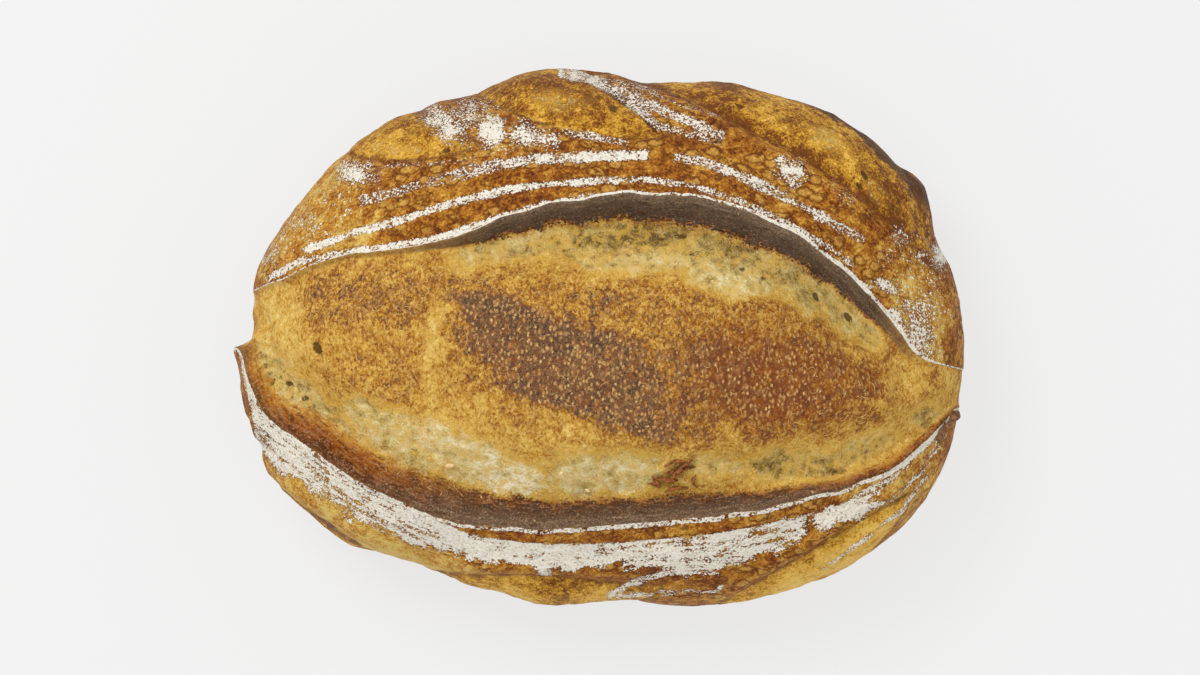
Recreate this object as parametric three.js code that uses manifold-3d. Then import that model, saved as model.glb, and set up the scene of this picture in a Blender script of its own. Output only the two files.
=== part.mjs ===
// A hearth-baked sourdough loaf, one solid piece, in millimetres.
// X runs along the loaf, Y across it and Z up, with the origin at the middle of its flat underside.
// A long score has burst open along the top: two raised crust rims, a burnt cut face under each, and a
// mound of new skin between them. Short slanting cuts have opened into leaf shapes round the flanks.
import * as THREE from "three";
import { mergeVertices } from "three/addons/utils/BufferGeometryUtils.js";
import Module from "manifold-3d";

// Overall size.
const LENGTH = 272;
const WIDTH = 200;
const HEIGHT = 104;

// The plain body: an ellipse seen from above, pushed out in places by the oven spring.
const HALF_LENGTH = 126.4;
const HALF_WIDTH = 90;
const CROWN = 99; // the body's top, before the relief is added
const WAIST = 33; // height of the widest level
const TUCK = 17; // how far the underside's edge lies inside the widest level
const TUCK_CURVE = 1.8;
const PLAN_POWER = 2.35; // how full the dome is towards its edge
const HEIGHT_POWER = 2.1;
const LUMPS = [
  // direction in degrees, push in mm, spread in degrees
  [25, 5.6, 5.5],
  [40, 11.3, 30],
  [62, 1.1, 5],
  [80, -1.2, 12],
  [100, 1.9, 11],
  [115, 6.5, 30],
  [140, 3.3, 14.5],
  [148, 1.1, 5],
  [165, 6, 15],
  [177, -1.3, 6],
  [191, 2, 4],
  [197.5, -2, 2.5],
  [205, 2.4, 7],
  [205, 12.9, 21],
  [218, 3.1, 8],
  [235, 3.6, 25],
  [240, 2.6, 7],
  [258, 5.9, 16],
  [280, 1.2, 5],
  [290, 7.3, 15],
  [297, 1.2, 4],
  [311, -1.4, 7],
  [318, 17.1, 26],
  [338, 1.7, 9],
  [340, 5.8, 26],
  [355, -1, 5],
];

// The front crust stands out past the burst at the loaf's left end, from this direction on.
const FLAP = { at: 182, push: 1.5, fade: 24, foot: [6, 28] }; // its foot dies away between these levels

// The two rims of the burst seen from above, and the relief along them, as [x, value] stations.
const BACK_RIM = [
  [-129, 16],
  [-102.6, 26.7],
  [-68.9, 32],
  [-47.3, 37.9],
  [-27.7, 45.2],
  [-0.3, 50.1],
  [21.3, 50.6],
  [38.9, 48.6],
  [58.5, 41.8],
  [80.8, 28],
  [103.2, 6],
  [114.5, -7.2],
  [134, -14],
];
const FRONT_RIM = [
  [-131.4, -4.8],
  [-128.6, -8],
  [-126.6, -17],
  [-122.1, -27.2],
  [-108.1, -38.8],
  [-85.1, -54.3],
  [-57.5, -65.1],
  [-35, -69.2],
  [-0.3, -68.9],
  [36.9, -65.7],
  [72.8, -59.2],
  [102.8, -48.9],
  [118.3, -37.7],
  [129.4, -26.9],
];
const BACK_LIP = [[-131, 0.3], [-100, 1.2], [-70, 1.5], [-40, 4.5], [60, 5.5], [95, 4], [112, 1], [125, 0]];
const FRONT_LIP = [[-136, 3], [-120, 4.5], [-60, 4.5], [0, 3.5], [80, 3], [112, 2.6], [127, 0.8], [134, 0.3]];
const BACK_VALLEY = [[-131, 0.1], [-100, 0.8], [-65, 1.5], [-35, 6], [40, 8], [85, 7], [105, 3], [118, 0]];
const FRONT_VALLEY = [[-136, 1.6], [-118, 4.6], [-100, 7], [80, 5], [110, 3.4], [124, 0.8], [134, 0]];
const BACK_BAND = [
  [-131, 1.5],
  [-70, 2],
  [-50, 4],
  [-34, 7],
  [20, 9],
  [46, 10],
  [80, 6.5],
  [97, 3.8],
  [108, 2.5],
  [136, 1.5],
];
const FRONT_BAND = [
  [-136, 3],
  [-120, 5.5],
  [-100, 7.5],
  [-62, 10],
  [-40, 8.4],
  [50, 7.4],
  [94, 5],
  [115, 3.4],
  [134, 2],
];
const LIP_RUN = 13; // the crust climbs towards a rim over this distance
const VALLEY_RUN = 24; // and the mound rises out of the valley over this one
const MOUND = 5.5; // the mound's height above the plain body
const SIDE_LOBE = 2.5; // and that of the smaller lobe to its left
const CREASE = { x: -62, lean: 0.16, width: 2.6, depth: 1.6 };

// The leaf-shaped cuts, in the plan with the flank unrolled: both tips, the middle line's bow to the left
// of the way between them, half-width, the side, +1 left or -1 right, where the torn edge stands up, and
// how strongly the cut stands out.
const LEAVES = [
  { from: [-46, 69], to: [-124, 84], bow: 0, half: 12, lip: -1, strength: 0.4 },
  { from: [22, 71], to: [-66, 108], bow: 0, half: 12.5, lip: -1, strength: 0.8 },
  { from: [0, 96], to: [124, 22], bow: 25, half: 15, lip: -1, strength: 0.8 },
  { from: [-138, -42], to: [-44, -95], bow: -15, half: 8, lip: 1, strength: 0.7 },
  { from: [-64, -86], to: [22, -92], bow: -8, half: 8, lip: 1, strength: 0.9 },
  { from: [41, -101], to: [114, -57], bow: -7, half: 8, lip: 1, strength: 0.9 },
];
const LEAF_SWELL = 2.4; // the new skin's bulge
const LEAF_GROOVE = { depth: 1.8, far: 0.6, spread: 3.4 }; // at the torn edge, and far from it
const LEAF_LIP = { rise: 2.8, out: 5, spread: 4.2 }; // the crust standing beside it

// The burnt tip of the front rim, curled up past the loaf's right end.
const TIP = { at: [121, -38.5, 54], toward: [0.68, 0.7, 0.22], reach: 17, root: 3.8, end: 2 };

// The mesh: rows and columns of the top, rows of the flank, and the share of the plan that the top covers.
const COLUMNS = 62;
const ROWS = { front: 10, band: 2, middle: 13, back: 15 };
const FLANK_ROWS = 11;
const TOP_SHARE = 0.985;
const SKIRT = 4; // the body runs this far below the underside before it is cut flat
const RELIEF_WEIGHT = 4;

const smooth = THREE.MathUtils.smoothstep;
const mix = THREE.MathUtils.lerp;

// The value at x of the smooth curve through the stations [x, value].
function along(stations, x) {
  const last = stations.length - 1;
  const at = THREE.MathUtils.clamp(x, stations[0][0], stations[last][0]);
  let i = 0;
  while (i < last - 1 && stations[i + 1][0] < at) i += 1;
  const slope = (k) => {
    const a = stations[Math.max(k - 1, 0)];
    const b = stations[Math.min(k + 1, last)];
    return (b[1] - a[1]) / (b[0] - a[0]);
  };
  const [x0, y0] = stations[i];
  const [x1, y1] = stations[i + 1];
  const span = x1 - x0;
  const t = (at - x0) / span;
  const rise = (2 * t - 3) * t * t;
  return (
    y0 * (1 + rise) - y1 * rise + span * slope(i) * t * (1 - t) ** 2 - span * slope(i + 1) * t * t * (1 - t)
  );
}

// Distance across to a rim curve, shortened where the curve slants.
function acrossTo(stations, x, y) {
  const slope = (along(stations, x + 1) - along(stations, x - 1)) / 2;
  return (y - along(stations, x)) / Math.hypot(1, slope);
}

// The loaf's widest outline: its radius in a direction, with the flap as it stands at a level.
function outline(angle, level) {
  const degrees = THREE.MathUtils.euclideanModulo(THREE.MathUtils.radToDeg(angle), 360);
  const ellipse =
    (HALF_LENGTH * HALF_WIDTH) / Math.hypot(HALF_WIDTH * Math.cos(angle), HALF_LENGTH * Math.sin(angle));
  const turned = (from) => THREE.MathUtils.euclideanModulo(degrees - from + 180, 360) - 180;
  const lump = ([at, push, spread]) => push * Math.exp(-((turned(at) / spread) ** 2));
  const lumps = LUMPS.reduce((sum, one) => sum + lump(one), 0);
  const past = turned(FLAP.at);
  const flap = past > 0 ? FLAP.push * (1 - smooth(past, 0, FLAP.fade)) : 0;
  return ellipse + lumps + flap * smooth(level, ...FLAP.foot);
}

// Slow unevenness, from a few sines.
function swell(x, y, z) {
  const wide = Math.sin(0.052 * x + 1.3) * Math.cos(0.061 * y - 0.4 + 0.02 * z);
  const narrow = Math.sin(0.118 * x - 0.07 * y + 0.6) * Math.cos(0.131 * y + 0.05 * z + 1.9);
  return 1.2 * wide + 0.6 * narrow;
}

// A leaf-shaped cut at a point of the unrolled plan: sunk edges, swollen middle and a standing lip.
function leafRelief({ from, to, bow, half, lip, strength }, x, y) {
  const way = new THREE.Vector2(to[0] - from[0], to[1] - from[1]);
  const offset = new THREE.Vector2(x - from[0], y - from[1]);
  const s = way.dot(offset) / way.lengthSq();
  if (s <= 0 || s >= 1) return 0;
  const across = way.cross(offset) / way.length() - 4 * bow * s * (1 - s);
  const width = half * Math.sin(Math.PI * s) ** 0.8;
  const share = Math.min(Math.abs(across) / width, 1);
  const ends = smooth(s, 0, 0.3) * (1 - smooth(s, 0.7, 1));
  const skin = LEAF_SWELL * (1 - share ** 2) ** 2;
  const fromEdge = (Math.abs(across) - width) / LEAF_GROOVE.spread;
  const depth = across * lip > 0 ? LEAF_GROOVE.depth : LEAF_GROOVE.far;
  const groove = depth * Math.exp(-(fromEdge ** 2));
  const fromCrest = (across * lip - width - LEAF_LIP.out) / LEAF_LIP.spread;
  const standing = LEAF_LIP.rise * Math.exp(-(fromCrest ** 2));
  return strength * ends * (skin - groove + standing);
}

// Height of the burst's relief over the plain body at a point of the unrolled plan.
function burstRelief(x, y) {
  const back = -acrossTo(BACK_RIM, x, y);
  const front = acrossTo(FRONT_RIM, x, y);
  const backLip = along(BACK_LIP, x);
  const frontLip = along(FRONT_LIP, x);
  if (back < 0) return backLip * Math.exp(back / LIP_RUN);
  if (front < 0) return frontLip * Math.exp(front / LIP_RUN);
  const share = front / (front + back);
  const isMound = smooth(x, CREASE.x - 6, CREASE.x + 10);
  const endFade = smooth(x, -136, -110) * (1 - smooth(x, 100, 134));
  const mound = mix(SIDE_LOBE, MOUND, isMound) * endFade * Math.sin(Math.PI * share);
  const crease = CREASE.depth * Math.exp(-(((x - CREASE.x + CREASE.lean * y) / CREASE.width) ** 2));
  const skin = mound - crease * smooth(share, 0.3, 0.5);
  const rise = (gap, lip, valley, band) => {
    const face = mix(lip, -valley, smooth(gap, 0, band));
    return mix(face, skin, smooth(gap, band, band + VALLEY_RUN));
  };
  return mix(
    rise(front, frontLip, along(FRONT_VALLEY, x), along(FRONT_BAND, x)),
    rise(back, backLip, along(BACK_VALLEY, x), along(BACK_BAND, x)),
    smooth(share, 0.35, 0.65),
  );
}

// The plain body's level at a share of the way out to the outline, and the share at a level.
function levelAt(share) {
  return WAIST + (CROWN - WAIST) * (1 - share ** PLAN_POWER) ** (1 / HEIGHT_POWER);
}
function shareAt(level, radius) {
  if (level > WAIST) return (1 - ((level - WAIST) / (CROWN - WAIST)) ** HEIGHT_POWER) ** (1 / PLAN_POWER);
  return 1 - (TUCK / radius) * ((WAIST - level) / WAIST) ** TUCK_CURVE;
}

// From the square plan of the mesh, -1 to 1 each way, to the direction and the share of the radius.
function roundOff(u, v) {
  const x = u * Math.sqrt(1 - (v * v) / 2);
  const y = v * Math.sqrt(1 - (u * u) / 2);
  return { angle: Math.atan2(HALF_WIDTH * y, HALF_LENGTH * x), share: Math.hypot(x, y) };
}

// Rows of the mesh run along the rims and the feet of the cut faces, so that these come out sharp.
function guideRows(u) {
  const slant = (rim, x) => Math.hypot(1, (along(rim, x + 1) - along(rim, x - 1)) / 2);
  const lines = [
    (x) => along(FRONT_RIM, x),
    (x) => along(FRONT_RIM, x) + along(FRONT_BAND, x) * slant(FRONT_RIM, x),
    (x) => along(BACK_RIM, x) - along(BACK_BAND, x) * slant(BACK_RIM, x),
    (x) => along(BACK_RIM, x),
  ];
  const found = lines.map((line) => {
    let low = -1;
    let high = 1;
    for (let i = 0; i < 30; i += 1) {
      const v = (low + high) / 2;
      const { angle, share } = roundOff(u, v);
      const radius = TOP_SHARE * share * outline(angle, CROWN);
      if (radius * Math.sin(angle) < line(radius * Math.cos(angle))) low = v;
      else high = v;
    }
    return low;
  });
  return [-1, ...found, 1];
}

const rowCounts = [ROWS.front, ROWS.band, ROWS.middle, ROWS.band, ROWS.back];
const rowTotal = rowCounts.reduce((a, b) => a + b);

// The row of the even mesh, moved to lie between the guide rows.
function movedRow(guides, v) {
  let row = ((v + 1) / 2) * rowTotal;
  let i = 0;
  while (i < rowCounts.length - 1 && row > rowCounts[i] + 1e-6) {
    row -= rowCounts[i];
    i += 1;
  }
  return mix(guides[i], guides[i + 1], row / rowCounts[i]);
}

// A point of the box's surface, carried to the loaf's surface.
function placed(u, v, w) {
  const { angle, share } = roundOff(u, v);
  const isTop = w > 1 - 1e-6;
  const level = isTop ? levelAt(TOP_SHARE * share) : mix(-SKIRT, levelAt(TOP_SHARE), (w + 1) / 2);
  const radius = outline(angle, level);
  const reach = isTop ? TOP_SHARE * share : share * shareAt(level, radius);
  const toward = new THREE.Vector2(Math.cos(angle), Math.sin(angle));
  const plan = toward.clone().multiplyScalar(radius * reach);
  const unrolled = level < WAIST ? toward.clone().multiplyScalar(radius + WAIST - level) : plan;
  const leaves = LEAVES.reduce((sum, leaf) => sum + leafRelief(leaf, unrolled.x, unrolled.y), 0);
  const burst = burstRelief(unrolled.x, unrolled.y) * smooth(level, 8, 40);
  const lift = burst + leaves * smooth(level, 4, 26) + swell(plan.x, plan.y, level);
  const lean = smooth(reach, 0.55, 0.95);
  const rise = (level - WAIST) / (CROWN - WAIST) ** 2;
  const normal = new THREE.Vector3(
    (lean * plan.x) / radius ** 2,
    (lean * plan.y) / radius ** 2,
    level > WAIST ? rise : rise / 2,
  ).normalize();
  return { point: new THREE.Vector3(plan.x, plan.y, level).addScaledVector(normal, lift), lift };
}

// Splits each four-sided cell of the mesh across the way its relief changes least.
function splitAlongRelief(geometry, lifts) {
  const index = geometry.index;
  const position = geometry.attributes.position;
  const corner = (i) => new THREE.Vector3().fromBufferAttribute(position, i);
  const bend = (i, j) => corner(i).distanceTo(corner(j)) + RELIEF_WEIGHT * Math.abs(lifts[i] - lifts[j]);
  for (let i = 0; i < index.count; i += 6) {
    const [a, b, d] = [index.getX(i), index.getX(i + 1), index.getX(i + 2)];
    const c = index.getX(i + 4);
    if (bend(a, c) < bend(b, d)) [a, b, c, a, c, d].forEach((k, n) => index.setX(i + n, k));
  }
}

const wasm = await Module();
wasm.setup();

// A closed geometry as a manifold-3d solid, and back.
function solidOf(geometry) {
  geometry.deleteAttribute("normal");
  geometry.deleteAttribute("uv");
  const merged = mergeVertices(geometry, 1e-4);
  return new wasm.Manifold(
    new wasm.Mesh({
      numProp: 3,
      vertProperties: new Float32Array(merged.attributes.position.array),
      triVerts: new Uint32Array(merged.index.array),
    }),
  );
}
function geometryOf(solid) {
  const mesh = solid.getMesh();
  return new THREE.BufferGeometry()
    .setAttribute("position", new THREE.BufferAttribute(mesh.vertProperties, 3))
    .setIndex(new THREE.BufferAttribute(mesh.triVerts, 1));
}

// The loaf's body: a box, bent into the loaf and cut flat underneath.
function bodySolid() {
  const box = new THREE.BoxGeometry(2, 2, 2, COLUMNS, rowTotal, FLANK_ROWS);
  const position = box.attributes.position;
  const guides = new Map();
  const lifts = [];
  for (let i = 0; i < position.count; i += 1) {
    const u = position.getX(i);
    const key = Math.round(u * 1e4);
    if (!guides.has(key)) guides.set(key, guideRows(u));
    const v = movedRow(guides.get(key), position.getY(i));
    const { point, lift } = placed(u, v, position.getZ(i));
    position.setXYZ(i, point.x, point.y, point.z);
    lifts.push(lift);
  }
  splitAlongRelief(box, lifts);
  const hearth = new THREE.BoxGeometry(2 * LENGTH, 2 * LENGTH, 4 * SKIRT).translate(0, 0, -2 * SKIRT);
  return solidOf(box).subtract(solidOf(hearth));
}

// The curled tip: a short horn that swells again at its end.
function tipSolid() {
  const profile = [
    [0, 0],
    [TIP.root, 0],
    [TIP.root * 0.75, TIP.reach * 0.4],
    [TIP.end * 0.85, TIP.reach * 0.75],
    [TIP.end, TIP.reach * 0.88],
    [TIP.end * 0.7, TIP.reach * 0.97],
    [0, TIP.reach],
  ].map(([r, h]) => new THREE.Vector2(r, h));
  const turn = new THREE.Quaternion().setFromUnitVectors(
    new THREE.Vector3(0, 1, 0),
    new THREE.Vector3(...TIP.toward).normalize(),
  );
  const horn = new THREE.LatheGeometry(profile, 10).applyQuaternion(turn).translate(...TIP.at);
  return solidOf(horn);
}

// The finished solid, brought to its overall size about the middle of the underside.
function loafGeometry() {
  const geometry = geometryOf(bodySolid().add(tipSolid()));
  geometry.computeBoundingBox();
  const size = geometry.boundingBox.getSize(new THREE.Vector3());
  const middle = geometry.boundingBox.getCenter(new THREE.Vector3());
  geometry.translate(-middle.x, -middle.y, 0);
  return geometry.scale(LENGTH / size.x, WIDTH / size.y, HEIGHT / size.z);
}

const crust = new THREE.MeshStandardMaterial({ color: 0xa8702c, roughness: 0.75, metalness: 0 });
const loaf = new THREE.Mesh(loafGeometry(), crust);
loaf.name = "loaf";

const group = new THREE.Group();
group.add(loaf);
export default group;
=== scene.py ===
"""A hearth-baked sourdough loaf: its crust, its burst top, flour, crumbs and seeds, on a plain pale floor.

Lengths in the tables are millimetres: x along the loaf, y across it, z up from its underside. Tables of the
form are in the loaf's own plan, and tables of the finish in the plan that an eye straight above it sees.
"""
import math

import bmesh
import bpy
import numpy as np
from mathutils import Matrix, Vector
from mathutils.bvhtree import BVHTree


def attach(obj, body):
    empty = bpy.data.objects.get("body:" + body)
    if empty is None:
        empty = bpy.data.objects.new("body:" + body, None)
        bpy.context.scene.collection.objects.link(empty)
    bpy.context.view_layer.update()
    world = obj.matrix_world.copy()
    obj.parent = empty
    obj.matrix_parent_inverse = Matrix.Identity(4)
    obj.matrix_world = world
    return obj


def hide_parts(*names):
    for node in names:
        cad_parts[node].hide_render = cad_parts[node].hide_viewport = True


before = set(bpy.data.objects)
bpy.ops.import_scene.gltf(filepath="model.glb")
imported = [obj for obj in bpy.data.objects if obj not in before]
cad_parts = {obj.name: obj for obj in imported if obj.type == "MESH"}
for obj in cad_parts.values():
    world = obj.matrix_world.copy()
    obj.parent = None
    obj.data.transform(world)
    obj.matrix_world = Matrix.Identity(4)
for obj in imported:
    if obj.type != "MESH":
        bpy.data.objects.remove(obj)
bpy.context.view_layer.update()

MM = 0.001
# The eye straight above the loaf, and its distance from the level at which the seen plan has true lengths.
EYE_HEIGHT, SIGHT = 3032, 3000

# ---------------------------------------------------------------- sizes of the loaf

HALF_LENGTH, HALF_WIDTH, CROWN = 126.4, 90.0, 99.0
WAIST, TUCK, TUCK_CURVE = 33.0, 17.0, 1.8
PLAN_POWER, HEIGHT_POWER = 2.35, 2.1
# Where the outline stands out (+) or back (-): direction in degrees, push, spread in degrees.
LUMPS = [
    (25, 5.6, 5.5), (40, 11.3, 30), (62, 1.1, 5), (80, -1.2, 12), (100, 1.9, 11), (115, 6.5, 30),
    (140, 3.3, 14.5), (148, 1.1, 5), (165, 6, 15), (177, -1.3, 6), (191, 2, 4), (197.5, -2, 2.5),
    (205, 2.4, 7), (205, 12.9, 21), (218, 3.1, 8), (235, 3.6, 25), (240, 2.6, 7), (258, 5.9, 16),
    (280, 1.2, 5), (290, 7.3, 15), (297, 1.2, 4), (311, -1.4, 7), (318, 17.1, 26), (338, 1.7, 9),
    (340, 5.8, 26), (355, -1, 5),
]
FLAP_AT, FLAP_PUSH, FLAP_FADE = 182, 1.5, 24

# The burst's two rims in plan, and what runs along them, as (x, value) stations.
BACK_RIM = [
    (-129, 16), (-102.6, 26.7), (-68.9, 32), (-47.3, 37.9), (-27.7, 45.2), (-0.3, 50.1), (21.3, 50.6),
    (38.9, 48.6), (58.5, 41.8), (80.8, 28), (103.2, 6), (114.5, -7.2), (134, -14),
]
FRONT_RIM = [
    (-131.4, -4.8), (-128.6, -8), (-126.6, -17), (-122.1, -27.2), (-108.1, -38.8), (-85.1, -54.3),
    (-57.5, -65.1), (-35, -69.2), (-0.3, -68.9), (36.9, -65.7), (72.8, -59.2), (102.8, -48.9), (118.3, -37.7),
    (129.4, -26.9),
]
BACK_LIP = [(-131, 0.3), (-100, 1.2), (-70, 1.5), (-40, 4.5), (60, 5.5), (95, 4), (112, 1), (125, 0)]
FRONT_LIP = [(-136, 3), (-120, 4.5), (-60, 4.5), (0, 3.5), (80, 3), (112, 2.6), (127, 0.8), (134, 0.3)]
BACK_VALLEY = [(-131, 0.1), (-100, 0.8), (-65, 1.5), (-35, 6), (40, 8), (85, 7), (105, 3), (118, 0)]
FRONT_VALLEY = [(-136, 1.6), (-118, 4.6), (-100, 7), (80, 5), (110, 3.4), (124, 0.8), (134, 0)]
BACK_BAND = [
    (-131, 1.5), (-70, 2), (-50, 4), (-34, 7), (20, 9), (46, 10), (80, 6.5), (97, 3.8), (108, 2.5),
    (136, 1.5),
]
FRONT_BAND = [
    (-136, 3), (-120, 5.5), (-100, 7.5), (-62, 10), (-40, 8.4), (50, 7.4), (94, 5), (115, 3.4), (134, 2),
]
BACK_CHAR = [(-131, 0.2), (-75, 0.35), (-55, 0.8), (-38, 1), (98, 1), (108, 0.6), (116, 0)]
FRONT_CHAR = [(-136, 0.7), (-128, 0.85), (-121, 0.95), (-100, 1), (118, 1), (126, 0.9), (134, 0.6)]
LIP_RUN, VALLEY_RUN = 13, 24
MOUND, SIDE_LOBE = 5.5, 2.5
CREASE_X, CREASE_LEAN, CREASE_WIDTH, CREASE_DEPTH = -62, 0.16, 2.6, 1.6

# The leaf-shaped side cuts: both tips, bow, half-width, the side of the standing edge, how strongly they
# stand out, browning of the skin.
LEAVES = [
    ((-46, 69), (-124, 84), 0, 12, -1, 0.4, 0.52),
    ((22, 71), (-66, 108), 0, 12.5, -1, 0.8, 0.52),
    ((0, 96), (124, 22), 25, 15, -1, 0.8, 0.60),
    ((-138, -42), (-44, -95), -15, 8, 1, 0.7, 0.40),
    ((-64, -86), (22, -92), -8, 8, 1, 0.9, 0.29),
    ((41, -101), (114, -57), -7, 8, 1, 0.9, 0.16),
]
LEAF_SWELL = 2.4
GROOVE_DEPTH, GROOVE_SPREAD, GROOVE_FAR = 1.8, 2.6, 0.35
STAND_RISE, STAND_OUT, STAND_SPREAD = 2.2, 4.0, 3.6

# What brings the body to the loaf's overall size: its middle, and its stretch each way.
BODY_MIDDLE, BODY_STRETCH = (-1.55, -1.18, 0), (1.0040, 1.0104, 0.9868)

# The mesh: columns, rows of the front crust, cut face, mound, cut face and back crust, rings down the flank
# and rings under the loaf, each smaller than the last. Then the rounds of two searches: for the row where a
# rim crosses a column, and for the place that shows along a line of sight.
COLUMNS = 300
ROWS = (44, 18, 86, 18, 56)
RINGS = 30
UNDER_RINGS, UNDER_SHARE = 4, 0.965
TOP_SHARE = 0.985
HALVINGS, SIGHTINGS = 30, 4

# Browning of the mound: centre x, y, half-length, half-width, turn in degrees, level, softness.
BROWNING = [
    (-88, -3, 33, 24, 0, 0.52, 0.5), (-93, 15, 27, 11, 4, 0.68, 0.5), (-112, 12, 8, 8, 0, 0.70, 0.7),
    (-76, 13, 13, 8, -20, 0.80, 0.6), (-121, 2, 11, 22, 0, 0.30, 0.6), (-80, -18, 16, 12, 0, 0.56, 0.6),
    (-45, 22, 18, 6, 8, 0.62, 0.6), (-60, 12, 5, 12, 10, 0.74, 0.7), (20, -8, 92, 27, -6, 0.60, 0.35),
    (16, 11, 24, 12, -6, 0.63, 0.6), (2, 13, 6, 7, 0, 0.74, 0.6), (60, 6, 34, 11, -14, 0.62, 0.5),
    (66, -17, 48, 15.5, -2, 0.83, 0.35), (52, -12, 32, 12, -8, 0.86, 0.6), (55, -18, 26, 7, -4, 0.88, 0.6),
    (27, -10, 10, 5, -10, 0.86, 0.7), (93, -17, 13, 6.5, 8, 0.75, 0.4), (114, -16, 8, 9, 0, 0.42, 0.5),
    (-18, -7, 54, 21, -25, 0.64, 0.45), (-13, -9.5, 46, 15.5, -27, 0.92, 0.26),
    (-42, 13, 14, 3.2, -8, 0.98, 0.6), (-24, 6, 12, 3, -34, 0.95, 0.7), (-4, -1, 15, 4.5, -2, 1.00, 0.6),
    (-16, -23, 26, 2.6, -15, 0.95, 0.7), (14, -34, 11, 2.4, -22, 0.95, 0.7),
    (-62, -4, 3.5, 20, -4, 0.34, 0.6), (-40, 29, 22, 4, 10, 0.42, 0.6), (20, 27, 30, 4, -2, 0.50, 0.7),
]

# Small holes baked into the skin: centre x, y, half-length, half-width, turn, depth.
HOLES = [
    (-105.6, -3.9, 2.2, 1.1, 115, 1.6), (-104.6, -5.2, 0.9, 0.7, 0, 1.0), (52.2, 86.7, 2.0, 0.9, -20, 0.8),
    (98.8, 60.6, 2.4, 1.0, -50, 0.9), (97.0, 56.6, 2.2, 1.0, -40, 0.9), (66.0, 85.0, 1.4, 0.8, -20, 0.6),
    (-57.4, 69.8, 1.6, 1.1, 0, 0.9), (-54.0, 71.0, 0.8, 0.6, 0, 0.6), (5.0, 86.0, 2.2, 1.7, -40, 0.7),
    (-124.0, -16.5, 1.6, 1.2, 0, 1.0), (-117.0, -17.6, 2.0, 1.1, -20, 1.0),
    (-110.4, -22.8, 1.6, 1.0, 0, 0.9), (-126.0, -10.5, 1.4, 0.9, 20, 0.9), (30.0, 37.6, 2.4, 0.9, 0, 1.0),
    (23.0, 36.6, 1.5, 0.8, 0, 0.8), (53.0, 25.4, 1.2, 0.9, 0, 0.8), (61.0, 22.0, 1.2, 0.8, 0, 0.8),
    (80.6, 15.0, 2.0, 1.0, -60, 1.0), (92.6, 7.6, 2.2, 1.2, -50, 1.0), (-22.4, 37.4, 1.0, 0.6, 0, 0.6),
]

# Pale crumb laid open beside the cut faces: centre x, y, half-length, half-width, turn, paleness.
CRUMB = [
    (-40, 32.5, 12, 5, 14, 0.35), (-26, 36, 13, 6, 12, 0.40), (-2, 37.5, 22, 7.5, 4, 0.06),
    (18, 28.5, 20, 4.5, 4, 0.48), (21, 40, 15, 6.5, -4, -0.34), (50, 31, 22, 8, -14, 0.12),
    (50, 21, 18, 5, -10, 0.56), (76, 19.5, 16, 7.5, -30, 0.32), (91, 8.5, 12, 5.5, -45, 0.32),
    (101, 0, 6, 3.5, -60, 0.15), (-117, -17, 19, 6, -46, 0.45), (-127, -7, 8, 5, -50, 0.40),
    (-91, -27, 5, 5, 0, 0.35), (-98, -34, 6, 4, 0, 0.25), (-74, -37, 22, 8, -20, 0.56),
    (-60, -37, 9, 4.5, -30, 0.66), (-70, -47, 9, 4, -8, 0.45), (-47, -46, 16, 8, -22, 0.70),
    (-32, -53, 11, 7.5, 0, 1.10), (-8, -52, 12, 8, 0, 0.64), (10, -51, 14, 7, 0, 0.68),
    (45, -48, 12, 4, 0, 0.40), (74, -47, 24, 5, 4, 0.06), (100, -40, 11, 4, 20, 0.20),
    (122, -30, 7, 5, 25, 0.10), (85.8, 73.7, 12, 3.6, -33, 0.3), (101.5, 56, 9, 3.2, -52, 0.25),
    (-78, 70, 10, 3.2, -4, 0.5), (-15, 88.6, 10, 4, 0, 0.5), (89.5, -80, 9, 2, 30, 0.3),
    (-8, -90, 8, 2.2, 0, 0.4),
]

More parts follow.
